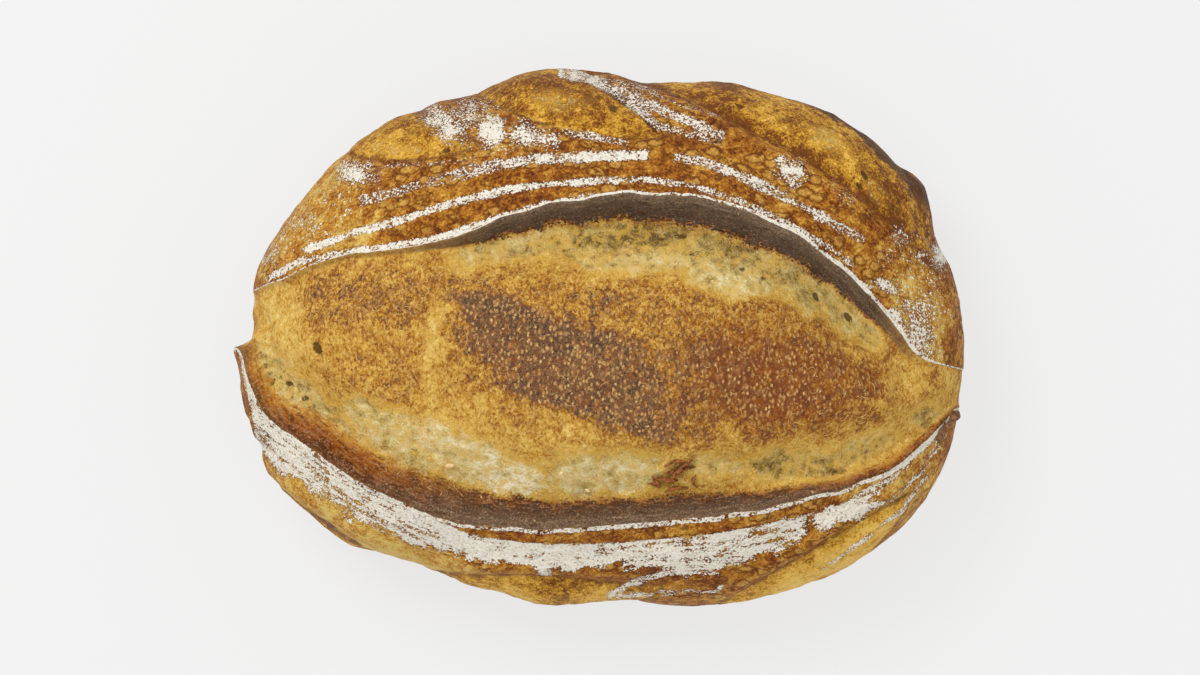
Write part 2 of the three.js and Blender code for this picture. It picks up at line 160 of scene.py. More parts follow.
# Flour: strokes as stations along x, half-width, thickness of the dusting at the start, middle and end.
FLOUR_STROKES = [
    ([(-127, 20.6), (-112, 28.2), (-100, 30.7), (-84, 33.1), (-67, 35.8), (-55, 38.8), (-42, 43), (-34, 45.4),
      (-22, 49.5), (0, 52.8), (20, 53.6)], 1.5, (0.9, 1.15, 0.7)),
    ([(86, 27.5), (93, 22.5), (100, 15.5), (106, 9), (112, 1.5)], 2.0, (0.6, 1.0, 0.9)),
    ([(-114, 31.5), (-100, 36), (-89, 40), (-75, 43.4), (-56, 50), (-40, 54), (-22, 57), (0, 58.6), (16, 59),
      (34, 56.8), (52, 51), (60, 47.3), (70, 42.4), (82, 35.5), (93, 28.5), (98, 24.4)],
     1.6, (1.1, 0.95, 0.65)),
    ([(-92, 50), (-80, 53.3), (-67, 57), (-52, 61), (-38, 64.5), (-24, 66.4), (0, 67.8), (20, 68)],
     2.3, (0.6, 0.85, 1.1)),
    ([(26, 67.8), (38, 66), (52, 60.5), (64, 55), (75, 49.4), (88, 42), (100, 35.5)], 2.1, (0.8, 0.9, 0.7)),
    ([(-84, 63), (-75, 64.5), (-60, 65), (-45, 66.6)], 1.3, (0.5, 0.5, 0.4)),
    ([(-15, 77), (0, 74.5), (12, 71.5)], 1.6, (0.5, 0.9, 0.4)),
    ([(-60, 85), (-45, 86), (-35, 85.5)], 1.3, (0.4, 0.6, 0.4)),
    ([(-17, 99), (-4, 96.5), (6, 92), (14, 85), (22, 79), (34, 76), (47, 72.8)], 2.0, (0.9, 0.7, 0.7)),
    ([(4, 94.5), (12, 90), (22, 85.5), (34, 80), (47, 74.5)], 2.6, (0.8, 0.75, 0.75)),
    ([(-14, 99.5), (0, 97), (15, 93.5), (30, 87), (45, 82)], 0.8, (0.8, 0.6, 0.5)),
    ([(1.9, -96.8), (14.9, -90.5), (33.6, -86.7), (48.5, -84.1), (56, -82)], 1.5, (0.9, 0.9, 0.7)),
    ([(4.8, -96.5), (22.4, -95.3), (42.9, -94.9), (47, -92.3)], 1.0, (0.9, 0.7, 0.8)),
    ([(82, -86.7), (97, -76.2), (111.9, -65), (123.1, -50.2)], 1.0, (0.5, 0.8, 0.75)),
    ([(93.3, -62.5), (108.2, -52.4), (121.2, -40.1), (128.7, -34.5)], 2.2, (0.8, 0.75, 0.8)),
    ([(106, -63), (119.4, -50.5), (127, -39)], 1.2, (0.5, 0.62, 0.6)),
    ([(80, -69.8), (88, -66.9), (95, -64.3), (106, -59.5)], 3.8, (1.15, 1.3, 0.6)),
]
# Loose dusting: centre x, y, half-length, half-width, turn, thickness.
FLOUR_PATCHES = [
    (-41, 77.5, 6.8, 5.2, 0, 1.35), (-48, 80, 22, 7, -12, 0.60), (-56, 79, 13, 6, -30, 0.82),
    (-45, 86, 16, 4, -5, 0.55), (-26, 76.5, 13, 6.5, -12, 0.82), (-40, 72, 20, 5, 0, 0.45),
    (-91, 61, 7.8, 5.4, 0, 0.95), (-97, 52, 6, 9, 30, 0.38), (-112, 44, 9, 12, 50, 0.42),
    (-122, 33, 5, 12, -25, 0.52), (71, 62.5, 7.8, 5.6, -10, 1.15), (92, 53, 9, 4.5, -35, 0.42),
    (113, 37, 5, 5, 0, 0.45), (118, 30, 4.5, 4, 0, 0.60), (127, 30, 4, 9, 15, 0.85),
    (107, 29, 4, 5, 0, 0.50), (107, 19, 5, 3, -20, 1.10), (99, 19.5, 4.5, 1.4, -5, 0.9),
    (110, 6, 3.6, 7, 15, 0.95), (121, 12, 8, 14, 15, 0.56), (125, -4, 6, 8, 20, 0.45),
    (124, 22, 5, 9, 10, 0.44), (118, 3, 9, 14, 12, 0.76), (60, -74, 14, 5, 12, 0.55),
]
# The dusting along the front crust: its upper and lower edge, and where the upper one leaves the rim.
FRONT_DUST_TOP = [
    (-136, 2), (-133, -10), (-128, -26), (-112, -40), (-88, -56), (-62, -67), (-48, -73.5), (-20, -76.8),
    (10, -76), (38, -73.5), (75, -66.5), (84, -63),
]
FRONT_DUST_END = [
    (-136, -4), (-131, -26), (-127, -44), (-112, -57), (-100, -64), (-89, -70), (-74, -77.5), (-60, -81.5),
    (-45, -86), (-30, -87.8), (-15, -88), (0, -87), (12, -86.5), (34, -90.5), (50, -88), (66, -82), (84, -72),
]

# Where the old crust is paler (+) or darker (-): centre x, y, half-length, half-width, turn, shift.
CRUST_TONES = [
    (-108, 45, 26, 36, 0, 0.36), (-100, -70, 50, 16, -33, 0.42), (-66, -86, 30, 7, -14, 0.44),
    (70, -94, 34, 6, 22, 0.30), (112, -52, 26, 18, 40, 0.26), (-45, 78, 22, 10, 0, 0.06),
    (95, 40, 26, 12, -45, 0.05), (30, 64, 40, 10, -14, -0.02), (119, 8, 12, 24, 10, 0.36),
    (20, -72, 70, 5, 4, 0.02),
]

BALD_ISLAND = (104.5, 14, 5.2, 3.4, -18)
# Where the crust is specked with grains of flour.
BUBBLY = [
    (-112, 36, 10, 26, -40, 1.0), (-94, 52, 14, 8, 20, 0.9), (116, 33, 9, 11, 0, 0.9),
    (121, 8, 9, 24, 8, 1.0),
]
# Half-width of the flour line on each rim, as (x, value) stations.
BACK_LINE = [(-131, 0.3), (-60, 0.15), (-20, 0.2), (10, 0.5), (60, 0.65), (96, 0.85), (112, 0.8), (130, 0.3)]
FRONT_LINE = [
    (-136, 0.9), (-70, 0.7), (-50, 0.7), (-30, 0.9), (0, 1.0), (20, 1.2), (80, 0.9), (108, 1.0), (130, 1.0),
]
# Dark edges of the leaf-shaped cuts, partly burnt and partly painted shadow: points, half-width, darkness.
BURNT_AND_SHADED_LINES = [
    ([(50.4, 95.5), (74.6, 90.2), (93.3, 80), (104.4, 69), (113.8, 61), (121.6, 53), (123.4, 41)], 1.7, 0.95),
    ([(108, 66), (116, 58), (122, 48)], 2.4, 0.6),
    ([(-6, 98), (3.7, 91.6), (14.9, 82.9), (24.2, 73.7)], 0.9, 0.8),
    ([(-74.6, 81.9), (-63.4, 81.9), (-54.1, 75.5), (-46, 66)], 0.9, 0.6),
    ([(-48, -93), (-36, -96), (-22, -98), (-10, -97)], 1.6, 0.3),
    ([(-95, -72), (-80, -80), (-62, -86)], 1.6, 0.25),
    ([(17, -58), (21, -54), (28, -50), (34, -46), (38, -42)], 3.2, 0.5),
]

# Seeds: x, y, length, width, heading in degrees. Torn curls: x, y, length, thickness, heading, curl.
SEEDS = [(-56, -47.6, 3.6, 2.4, 30), (-14.5, -50.5, 2.6, 1.7, 80), (-4.5, -56.9, 2.4, 1.6, 10)]
SCRAP = [
    (34.0, -45.4, 12.0, 0.75, 212, 0.5), (35.6, -48.0, 10.0, 0.65, 196, -0.6),
    (31.0, -46.0, 8.0, 0.6, 160, 0.8), (29.0, -53.0, 10.0, 0.85, 188, -0.4),
    (33.0, -56.2, 9.5, 0.75, 160, 0.5), (36.0, -51.0, 7.0, 0.6, 232, 0.8),
    (22.6, -55.5, 6.0, 0.7, 120, 0.7), (28.2, -51.2, 6.6, 0.65, 80, -0.7),
    (24.0, -50.6, 7.0, 0.55, 20, 0.6), (20.0, -52.6, 5.0, 0.6, 330, -0.8),
]
# The two rims as they look from above.
SEEN_BACK = [
    (-131, 17), (-104, 27.5), (-70, 33), (-48, 39), (-28, 46.5), (0, 51.5), (40, 50), (83, 29), (117, -7),
]
SEEN_FRONT = [
    (-134, -4), (-127, -28), (-112, -40), (-88, -56), (-60, -68), (-36, -71.5), (38, -67), (134, -27.5),
]

# The curled tip: where it leaves the front rim, its run, how its end curls, and its radius at the root, the
# neck and the knob.
TIP_START, TIP_RUN, TIP_CURL = (124, -36.5, 55), (7.6, 6.4, 1.5), (1.0, 2.8, 1.6)
TIP_ROOT, TIP_NECK, TIP_KNOB = 3.0, 1.0, 1.85
TIP_RINGS, TIP_SIDES = 26, 24
SCRAP_RINGS, SCRAP_SIDES, SCRAP_LIFT = 15, 12, 0.16

# Loose crumbs and fine strands: how many, where along and across the loaf, and the least and the most of
# their sizes.
CRUMB_COUNT, CRUMB_RADII = 90, (0.25, 0.6)
CRUMB_ALONG, CRUMB_ACROSS = (-125, 125), (-85, 85)
THREAD_COUNT, THREAD_RINGS, THREAD_SIDES = 620, 7, 5
THREAD_ALONG, THREAD_ACROSS = (-128, 112), (-58, 44)
THREAD_LENGTHS, THREAD_LIFTS, THREAD_RADII = (1.6, 4.2), (0.1, 0.55), (0.07, 0.13)


# ---------------------------------------------------------------- curves and noise

def smooth(x, low, high):
    t = np.clip((x - low) / (high - low), 0, 1)
    return t * t * (3 - 2 * t)


def mix(a, b, t):
    return a + (b - a) * t


def along(stations, x):
    """The smooth curve through the stations, at x."""
    xs, ys = np.array(stations, float).T
    slope = np.gradient(ys, xs)
    slope[1:-1] = (ys[2:] - ys[:-2]) / (xs[2:] - xs[:-2])
    at = np.clip(x, xs[0], xs[-1])
    i = np.clip(np.searchsorted(xs, at, side="right") - 1, 0, len(xs) - 2)
    span = xs[i + 1] - xs[i]
    t = (at - xs[i]) / span
    rise = (2 * t - 3) * t * t
    bends = slope[i] * t * (1 - t) ** 2 - slope[i + 1] * t * t * (1 - t)
    return ys[i] * (1 + rise) - ys[i + 1] * rise + span * bends


def lattice(cells, seed):
    """A repeatable random number from -1 to 1 for each cell."""
    h = cells[..., 0] * 73856093 ^ cells[..., 1] * 19349663 ^ cells[..., 2] * 83492791 ^ (seed * 2654435761)
    h = (h & 0xFFFFFFFF) * 2246822519 & 0xFFFFFFFF
    h = (h ^ (h >> 13)) * 3266489917 & 0xFFFFFFFF
    return ((h ^ (h >> 16)) & 0xFFFF) / 32767.5 - 1


def noise(points, size, seed, octaves=1):
    """Smooth uneven values, about -1 to 1, with lumps of that size in mm."""
    total, weight = 0, 1
    for octave in range(octaves):
        p = points / (size / 2**octave) + 31.7 * seed + 11.3 * octave
        cell = np.floor(p).astype(np.int64)
        f = p - cell
        f = f * f * (3 - 2 * f)
        value = 0
        for corner in np.ndindex(2, 2, 2):
            share = np.prod(np.where(corner, f, 1 - f), axis=-1)
            value = value + share * lattice(cell + np.array(corner), seed + octave)
        total = total + weight * value
        weight *= 0.5
    return total


def ragged(x, seed):
    """How far a torn rim strays from its smooth line."""
    at = np.stack([x, np.zeros_like(x), np.zeros_like(x)], -1)
    return 0.7 * noise(at, 9, seed) + 0.3 * noise(at, 3, seed + 5)


def rim_line(rim, x):
    return along(rim, x) + ragged(x, 3 if rim is BACK_RIM else 8) * smooth(np.abs(x), 130, 118)


def slant(rim, x):
    return np.hypot(1, (along(rim, x + 1) - along(rim, x - 1)) / 2)


def near(x, y, path):
    """Distance to the line through the points, and how far along it, from 0 to 1."""
    path = np.array(path, float)
    run = np.concatenate([[0], np.cumsum(np.hypot(*np.diff(path, axis=0).T))])
    best, reached = np.full_like(x, 1e9), np.zeros_like(x)
    for a, b, start, end in zip(path, path[1:], run, run[1:]):
        d = b - a
        t = np.clip(((x - a[0]) * d[0] + (y - a[1]) * d[1]) / (d @ d), 0, 1)
        gap = np.hypot(x - a[0] - t * d[0], y - a[1] - t * d[1])
        reached = np.where(gap < best, mix(start, end, t) / run[-1], reached)
        best = np.minimum(gap, best)
    return best, reached


def blob(x, y, patch, wobble=0):
    """Distance from a turned ellipse's middle, 1 at its edge."""
    cx, cy, long, short, turn = patch[:5]
    c, s = math.cos(math.radians(turn)), math.sin(math.radians(turn))
    dx, dy = x - cx, y - cy
    return np.hypot((dx * c + dy * s) / long, (dy * c - dx * s) / short) + wobble


def cover_of(x, y, patch, wobble, inner, outer):
    """How much of each point a patch with a frayed edge covers, from 0 to 1."""
    return 1 - smooth(blob(x, y, patch, wobble), inner, outer)


def strongest(x, y, patches, *fray):
    """The most that any of the patches gives each point."""
    return np.max([patch[5] * cover_of(x, y, patch, *fray) for patch in patches], axis=0)


# ---------------------------------------------------------------- the loaf's form

def outline(angle, level):
    """Radius of the plan in a direction; the flap at the left end shows only above the foot."""
    degrees = np.degrees(angle) % 360
    radius = HALF_LENGTH * HALF_WIDTH / np.hypot(HALF_WIDTH * np.cos(angle), HALF_LENGTH * np.sin(angle))
    for at, push, spread in LUMPS:
        radius = radius + push * np.exp(-((((degrees - at + 180) % 360 - 180) / spread) ** 2))
    past = (degrees - FLAP_AT + 180) % 360 - 180
    flap = np.where(past > 0, FLAP_PUSH * (1 - smooth(past, 0, FLAP_FADE)), 0)
    return radius + flap * smooth(level, 6, 28)


def level_at(share):
    """Height of the upper body at a share of the plan's radius."""
    return WAIST + (CROWN - WAIST) * np.clip(1 - share**PLAN_POWER, 0, 1) ** (1 / HEIGHT_POWER)


def share_at(level, radius):
    """Share of the plan's radius that the flank reaches at a height."""
    upper = np.clip(1 - (np.clip(level - WAIST, 0, None) / (CROWN - WAIST)) ** HEIGHT_POWER, 0, 1)
    lower = 1 - TUCK / radius * (np.clip(WAIST - level, 0, None) / WAIST) ** TUCK_CURVE
    return np.where(level > WAIST, upper ** (1 / PLAN_POWER), lower)


def round_off(u, v):
    """Direction and share of the radius for a place in the square grid."""
    x = u * np.sqrt(1 - v * v / 2)
    y = v * np.sqrt(1 - u * u / 2)
    return np.arctan2(HALF_WIDTH * y, HALF_LENGTH * x), np.hypot(x, y)


def guide_rows(u):
    """For each column, where the rims and the feet of the cut faces cross it."""
    lines = [
        lambda x: rim_line(FRONT_RIM, x),
        lambda x: rim_line(FRONT_RIM, x) + along(FRONT_BAND, x) * slant(FRONT_RIM, x),
        lambda x: rim_line(BACK_RIM, x) - along(BACK_BAND, x) * slant(BACK_RIM, x),
        lambda x: rim_line(BACK_RIM, x),
    ]
    guides = [np.full_like(u, -1)]
    for line in lines:
        low, high = np.full_like(u, -1), np.full_like(u, 1)
        for _ in range(HALVINGS):
            v = (low + high) / 2
            angle, share = round_off(u, v)
            radius = TOP_SHARE * share * outline(angle, CROWN)
            below = radius * np.sin(angle) < line(radius * np.cos(angle))
            low, high = np.where(below, v, low), np.where(below, high, v)
        guides.append(low)
    return np.stack(guides + [np.full_like(u, 1)])


def burst_relief(x, y):
    """Lift of the rims and the mound over the plain body, with the distances that the finish needs."""
    back = (rim_line(BACK_RIM, x) - y) / slant(BACK_RIM, x)
    front = (y - rim_line(FRONT_RIM, x)) / slant(FRONT_RIM, x)
    back_lip, front_lip = along(BACK_LIP, x), along(FRONT_LIP, x)
    share = np.clip(front / np.maximum(front + back, 1e-6), 0, 1)
    mound = mix(SIDE_LOBE, MOUND, smooth(x, CREASE_X - 6, CREASE_X + 10))
    mound = mound * smooth(x, -136, -110) * (1 - smooth(x, 100, 134)) * np.sin(np.pi * share)
    crease = CREASE_DEPTH * np.exp(-(((x - CREASE_X + CREASE_LEAN * y) / CREASE_WIDTH) ** 2))
    skin = mound - crease * smooth(share, 0.3, 0.5)

    def rise(gap, lip, valley, band):
        face = mix(lip, -valley, smooth(gap, 0, band))
        return mix(face, skin, smooth(gap, band, band + VALLEY_RUN))

    inside = mix(
        rise(front, front_lip, along(FRONT_VALLEY, x), along(FRONT_BAND, x)),
        rise(back, back_lip, along(BACK_VALLEY, x), along(BACK_BAND, x)),
        smooth(share, 0.35, 0.65),
    )
    lift = np.where(back < 0, back_lip * np.exp(np.minimum(back, 0) / LIP_RUN), inside)
    lift = np.where(front < 0, front_lip * np.exp(np.minimum(front, 0) / LIP_RUN), lift)
    return lift, front, back


def leaf_relief(leaf, x, y):
    """Lift of one side cut and the distance inside its edge."""
    start, end, bow, half, lip, strength, _ = leaf
    wx, wy = end[0] - start[0], end[1] - start[1]
    length = math.hypot(wx, wy)
    dx, dy = x - start[0], y - start[1]
    s = np.clip((wx * dx + wy * dy) / length**2, 0, 1)
    across = (wx * dy - wy * dx) / length - 4 * bow * s * (1 - s)
    width = half * np.sin(np.pi * s) ** 0.8
    share = np.minimum(np.abs(across) / np.maximum(width, 0.01), 1)
    ends = smooth(s, 0, 0.3) * (1 - smooth(s, 0.7, 1))
    skin = LEAF_SWELL * (1 - share**2) ** 2
    depth = np.where(across * lip > 0, GROOVE_DEPTH, GROOVE_DEPTH * GROOVE_FAR)
    groove = depth * np.exp(-(((np.abs(across) - width) / GROOVE_SPREAD) ** 2))
    standing = STAND_RISE * np.exp(-(((across * lip - width - STAND_OUT) / STAND_SPREAD) ** 2))
    inside = np.where((s > 0) & (s < 1), width - np.abs(across), -9)
    # Darker just inside the standing edge: partly singeing, partly painted shade under that edge.
    singed_and_shaded = 0.22 * np.exp(-(((across * lip - width + 1) / 2.2) ** 2))
    return strength * ends * (skin - groove + standing), inside, singed_and_shaded


def to_size(points):
    """Brings the body to the loaf's overall size about the middle of its underside."""
    return (points - BODY_MIDDLE) * BODY_STRETCH


def as_seen(points):
    """Where points of the loaf appear to the eye straight above it."""
    return points[:, :2].T * SIGHT / (EYE_HEIGHT - points[:, 2])


def swell(x, y, z):
    """The loaf's slow unevenness."""
    wide = np.sin(0.052 * x + 1.3) * np.cos(0.061 * y - 0.4 + 0.02 * z)
    narrow = np.sin(0.118 * x - 0.07 * y + 0.6) * np.cos(0.131 * y + 0.05 * z + 1.9)
    return 1.2 * wide + 0.6 * narrow


def flour_cover(x, y, at):
    """How thickly flour lies, from 0 to about 1."""
    cover = np.zeros_like(x)
    uneven = noise(at, 6, 21) * 0.2 + noise(at, 2.5, 22) * 0.16
    clumps = 0.3 * noise(at, 3.0, 23, 2)
    for path, half, (first, middle, last) in FLOUR_STROKES:
        gap, t = near(x, y, path)
        thick = np.interp(t, (0, 0.5, 1), (first, middle, last))
        gap = gap / (half * (1 + 1.6 * uneven))
        ends = smooth(t, 0, 0.03) * (1 - smooth(t, 0.97, 1))
        cover = np.maximum(cover, thick * ends * (1 - smooth(gap, 0.55, 1.35)) * (1 + 0.9 * clumps))
    cover = np.maximum(cover, strongest(x, y, FLOUR_PATCHES, 1.8 * uneven, 0.15, 1.6) * (1 + clumps))
    below = along(FRONT_DUST_TOP, x) - y
    above = y - along(FRONT_DUST_END, x)
    streak = noise(np.stack([x / 8, y - along(FRONT_DUST_TOP, x), at[:, 2]], -1), 1.6, 25, 3)
    band = smooth(below, -0.6, 0.8) * smooth(above + 12 * uneven, -0.5, 3.5) * (1 - smooth(x, 74, 86))
    thick = mix(0.92, 1.02, smooth(x, -80, 10)) + 0.55 * np.exp(-(((x + 36) / 30) ** 2))
    return np.maximum(cover, band * (thick + 0.42 * streak + 0.8 * clumps))


def loaf_mesh():
    """The grid of the top, its border drawn down ring by ring, and the underside closed."""
    bm = bmesh.new()
    rows = sum(ROWS)
    bmesh.ops.create_grid(bm, x_segments=COLUMNS, y_segments=rows, size=1)
    border = [e for e in bm.edges if e.is_boundary]
    for ring in range(RINGS + UNDER_RINGS):
        grown = bmesh.ops.extrude_edge_only(bm, edges=border)["geom"]
        fresh = [g for g in grown if isinstance(g, bmesh.types.BMVert)]
        border = [g for g in grown if isinstance(g, bmesh.types.BMEdge) and g.is_boundary]
        if ring < RINGS:
            bmesh.ops.translate(bm, verts=fresh, vec=(0, 0, -2 / RINGS))
        else:
            bmesh.ops.scale(bm, verts=fresh, vec=(UNDER_SHARE, UNDER_SHARE, 1))
    bmesh.ops.contextual_create(bm, geom=border)
    bmesh.ops.recalc_face_normals(bm, faces=bm.faces)
    mesh = bpy.data.meshes.new("loaf crust")
    bm.to_mesh(mesh)
    bm.free()
    return mesh


class Body:
    """The plain body at each point of the mesh: its place, its level, its plan unrolled, and the way out."""

    def __init__(self, u, v, drop):
        angle, share = round_off(u, v)
        is_top = drop > -1e-6
        level = np.where(is_top, level_at(TOP_SHARE * share), level_at(TOP_SHARE) * (1 + drop / 2))
        level = np.maximum(level, 0)
        radius = outline(angle, level)
        reach = np.where(is_top, TOP_SHARE * share, share * share_at(level, radius))
        x, y = radius * reach * np.cos(angle), radius * reach * np.sin(angle)
        unroll = np.where(level < WAIST, radius + WAIST - level, radius * reach)
        self.plan = unroll * np.cos(angle), unroll * np.sin(angle)
        self.level = level
        self.solid = np.stack([x, y, level], -1)

        lean = smooth(reach, 0.55, 0.95)
        upward = (level - WAIST) / (CROWN - WAIST) ** 2 * np.where(level > WAIST, 1, 0.5)
        normal = np.stack([lean * x / radius**2, lean * y / radius**2, upward], -1)
        self.normal = normal / np.maximum(np.linalg.norm(normal, axis=1, keepdims=True), 1e-9)


def spread_rows(u, v):
    """Moves the even rows of the grid to where the rims and the cut faces cross each column."""
    bounds = np.cumsum((0,) + ROWS) / sum(ROWS) * 2 - 1
    columns, which = np.unique(np.round(u, 5), return_inverse=True)
    guides = guide_rows(columns)[:, which]
    row = np.clip(np.searchsorted(bounds, v, side="right") - 1, 0, len(ROWS) - 1)
    part = (v - bounds[row]) / (bounds[row + 1] - bounds[row])
    picks = np.arange(len(u))
    return mix(guides[row, picks], guides[row + 1, picks], part)


def side_cuts(x, y, level, opened):
    """Lift of all the leaf-shaped cuts, the distance inside their edges, and their browning and painted edge
    shade.
    """
    lift, edge, bake = np.zeros_like(x), np.full_like(x, -9), np.full_like(x, 0.4)
    for leaf in LEAVES:
        rise, inside, singed_and_shaded = leaf_relief(leaf, x, y)
        lift += rise * smooth(level, 4, 26)
        bake = np.where(inside > edge, leaf[6] + singed_and_shaded, bake)
        edge = np.maximum(edge, inside)
    return lift, np.where(opened > -3, -9, edge), bake


def mound_browning(x, y, flat, wander):
    bake = 0.44 + 0.05 * noise(flat, 25, 34)
    for patch in BROWNING:
        soft = patch[6]
        bake = mix(bake, patch[5], cover_of(x, y, patch, wander, 1 - soft, 1 + soft))
    return bake


def open_crumb(x, y, wander):
    """Where crumb lies open, and how pale it is."""
    crumb, pale = np.zeros_like(x), np.full_like(x, 0.4)
    for patch in CRUMB:
        weight = cover_of(x, y, patch, wander * 1.5, 0.35, 1.6)
        pale = mix(pale, patch[5], weight)
        crumb = np.maximum(crumb, weight)
    return crumb, pale


def scorching_and_shade(x, y, wander):
    """How dark the standing edges of the cuts are: partly burnt, partly painted shadow beside them."""
    burnt = np.zeros_like(x)
    for path, half, dark in BURNT_AND_SHADED_LINES:
        gap, t = near(x, y, path)
        fade = smooth(t, 0, 0.25) * (1 - smooth(t, 0.85, 1))
        burnt = np.maximum(burnt, dark * fade * (1 - smooth(gap / (half * (1 + wander)), 0.3, 1.6)))
    return burnt


def small_relief(solid, on_crust, flour, crumb, hole):
    """Blisters of the crust, fibres of the new skin, and pits of the open crumb."""
    blistered = 0.4 * noise(solid, 8, 41, 2) + 0.24 * noise(solid, 3.2, 43) - 0.3 * smooth(flour, 0.3, 0.8)
    fibrous = 0.6 * noise(solid, 13, 44, 2) + 0.28 * noise(solid, 4, 46, 2)
    pits = smooth(noise(solid, 4.4, 47) + 0.35 * noise(solid, 2.2, 48), 0.2, 0.75)
    return mix(fibrous, blistered, on_crust) - smooth(crumb, 0.3, 0.7) * (1.3 * pits + 0.4) - hole


def shape_loaf(mesh):
    """Carries the even grid onto the loaf and stores what its finish needs on the points."""
    even = np.empty(len(mesh.vertices) * 3, np.float32)
    mesh.vertices.foreach_get("co", even)
    u, v, drop = even.reshape(-1, 3).astype(float).T
    body = Body(u, spread_rows(u, v), drop)
    level, solid, normal = body.level, body.solid, body.normal
    ux, uy = body.plan

    burst, front, back = burst_relief(ux, uy)
    opened = np.minimum(front, back)
    at_front = front < back
    cuts, leaf_edge, leaf_bake = side_cuts(ux, uy, level, opened)
    lift = burst * smooth(level, 8, 40) + swell(*solid.T) + cuts
    x, y = as_seen(to_size(solid + normal * lift[:, None]))
    flat = np.stack([x, y, np.zeros_like(x)], -1)
    flour = flour_cover(x, y, flat)

    wander = 0.22 * noise(flat, 9, 31, 2) + 0.12 * noise(flat, 3, 33)
    on_mound = smooth(opened, -1, 0)
    crumb, pale = open_crumb(x, y, wander)
    crumb *= np.maximum(on_mound, 0.42 * smooth(leaf_edge, 0.5, 3))
    hole = strongest(x, y, HOLES, wander, 0.5, 1.5)
    bake = mix(leaf_bake + 0.16 * noise(flat, 16, 36, 2), mound_browning(x, y, flat, wander), on_mound)
    bake = mix(np.maximum(bake, 0.58), bake, smooth(level, 22, 52))
    tones = sum(patch[5] * cover_of(x, y, patch, wander, 0.4, 1.4) for patch in CRUST_TONES)
    edging = np.where(at_front, along(FRONT_LINE, x), along(BACK_LINE, x)) * smooth(level, 26, 44)
    thinner = mix(1, 2.2, smooth(ux, 30, 100)) * mix(2.2, 1, smooth(ux, -134, -106))
    face = np.where(at_front, front / along(FRONT_BAND, ux) * thinner, back / along(BACK_BAND, ux))
    char = np.where(at_front, along(FRONT_CHAR, ux), along(BACK_CHAR, ux))

    on_crust = (1 - smooth(opened, -0.5, 0.5)) * (1 - smooth(leaf_edge, -0.5, 0.5))
    lift += small_relief(solid, on_crust, flour, crumb, hole)
    normal[level <= 0.01] *= (1, 1, 0)
    points = to_size(solid + normal * lift[:, None])
    points[:, 2] = np.where(drop < -2 + 1e-6, 0, np.maximum(points[:, 2], 0))
    mesh.vertices.foreach_set("co", (points * MM).astype(np.float32).ravel())

    kept = {
        "opened": opened - 16 * (1 - smooth(level, 3, 32)),
        "leaf": leaf_edge,
        "face": np.clip(face, -1, 9),
        "char": char * smooth(level, 20, 44),
        "bake": bake,
        "crumb": crumb,
        "pale": pale,
        "flour": flour * smooth(level, 16, 40),
        "bald": cover_of(x, y, BALD_ISLAND, 0, 0.8, 1.1),
        "tones": tones,
        "hole": hole,
        "bubbly": strongest(x, y, BUBBLY, wander, 0.5, 1.4),
        # Dark lines at the cut edges: partly burnt, partly painted shadow.
        "burnt": scorching_and_shade(x, y, wander) * smooth(level, 24, 40),
        "edging": np.maximum(edging, 0.02),
        "at_front": at_front * 1.0,
        "lively": mix(0.54, 0.76, smooth(bake, 0.5, 0.7)) - 0.46 * smooth(bake, 0.80, 0.92),
        "ruddy": smooth(x, 15, 55) * smooth(bake, 0.45, 0.8),
        "rust": (1 - smooth(ux, -95, -40) + smooth(ux, 55, 105)) * at_front,
    }
    for name, values in kept.items():
        layer = mesh.attributes.new(name, "FLOAT", "POINT")
        layer.data.foreach_set("value", values.astype(np.float32))
    mesh.update()
    return mesh


# ---------------------------------------------------------------- finishes

def tone(red, green, blue):
    """A colour read off a screen, 0 to 255, as a shader colour."""
    def linear(c):
        c /= 255
        return c / 12.92 if c <= 0.04045 else ((c + 0.055) / 1.055) ** 2.4
    return (linear(red), linear(green), linear(blue), 1)


class Signal:
    """A shader socket that can stand in sums."""

    def __init__(self, finish, socket):
        self.finish, self.socket = finish, socket

    def _maths(self, operation, *values):
        return self.finish.node("ShaderNodeMath", {"operation": operation}, dict(enumerate(values)))

    def __add__(self, other):
        return self._maths("ADD", self, other)

    def __radd__(self, other):
        return self._maths("ADD", other, self)

    def __sub__(self, other):
        return self._maths("SUBTRACT", self, other)

    def __rsub__(self, other):
        return self._maths("SUBTRACT", other, self)

    def __mul__(self, other):
        return self._maths("MULTIPLY", self, other)

    def __rmul__(self, other):
        return self._maths("MULTIPLY", other, self)

    def __abs__(self):
        return self._maths("ABSOLUTE", self)


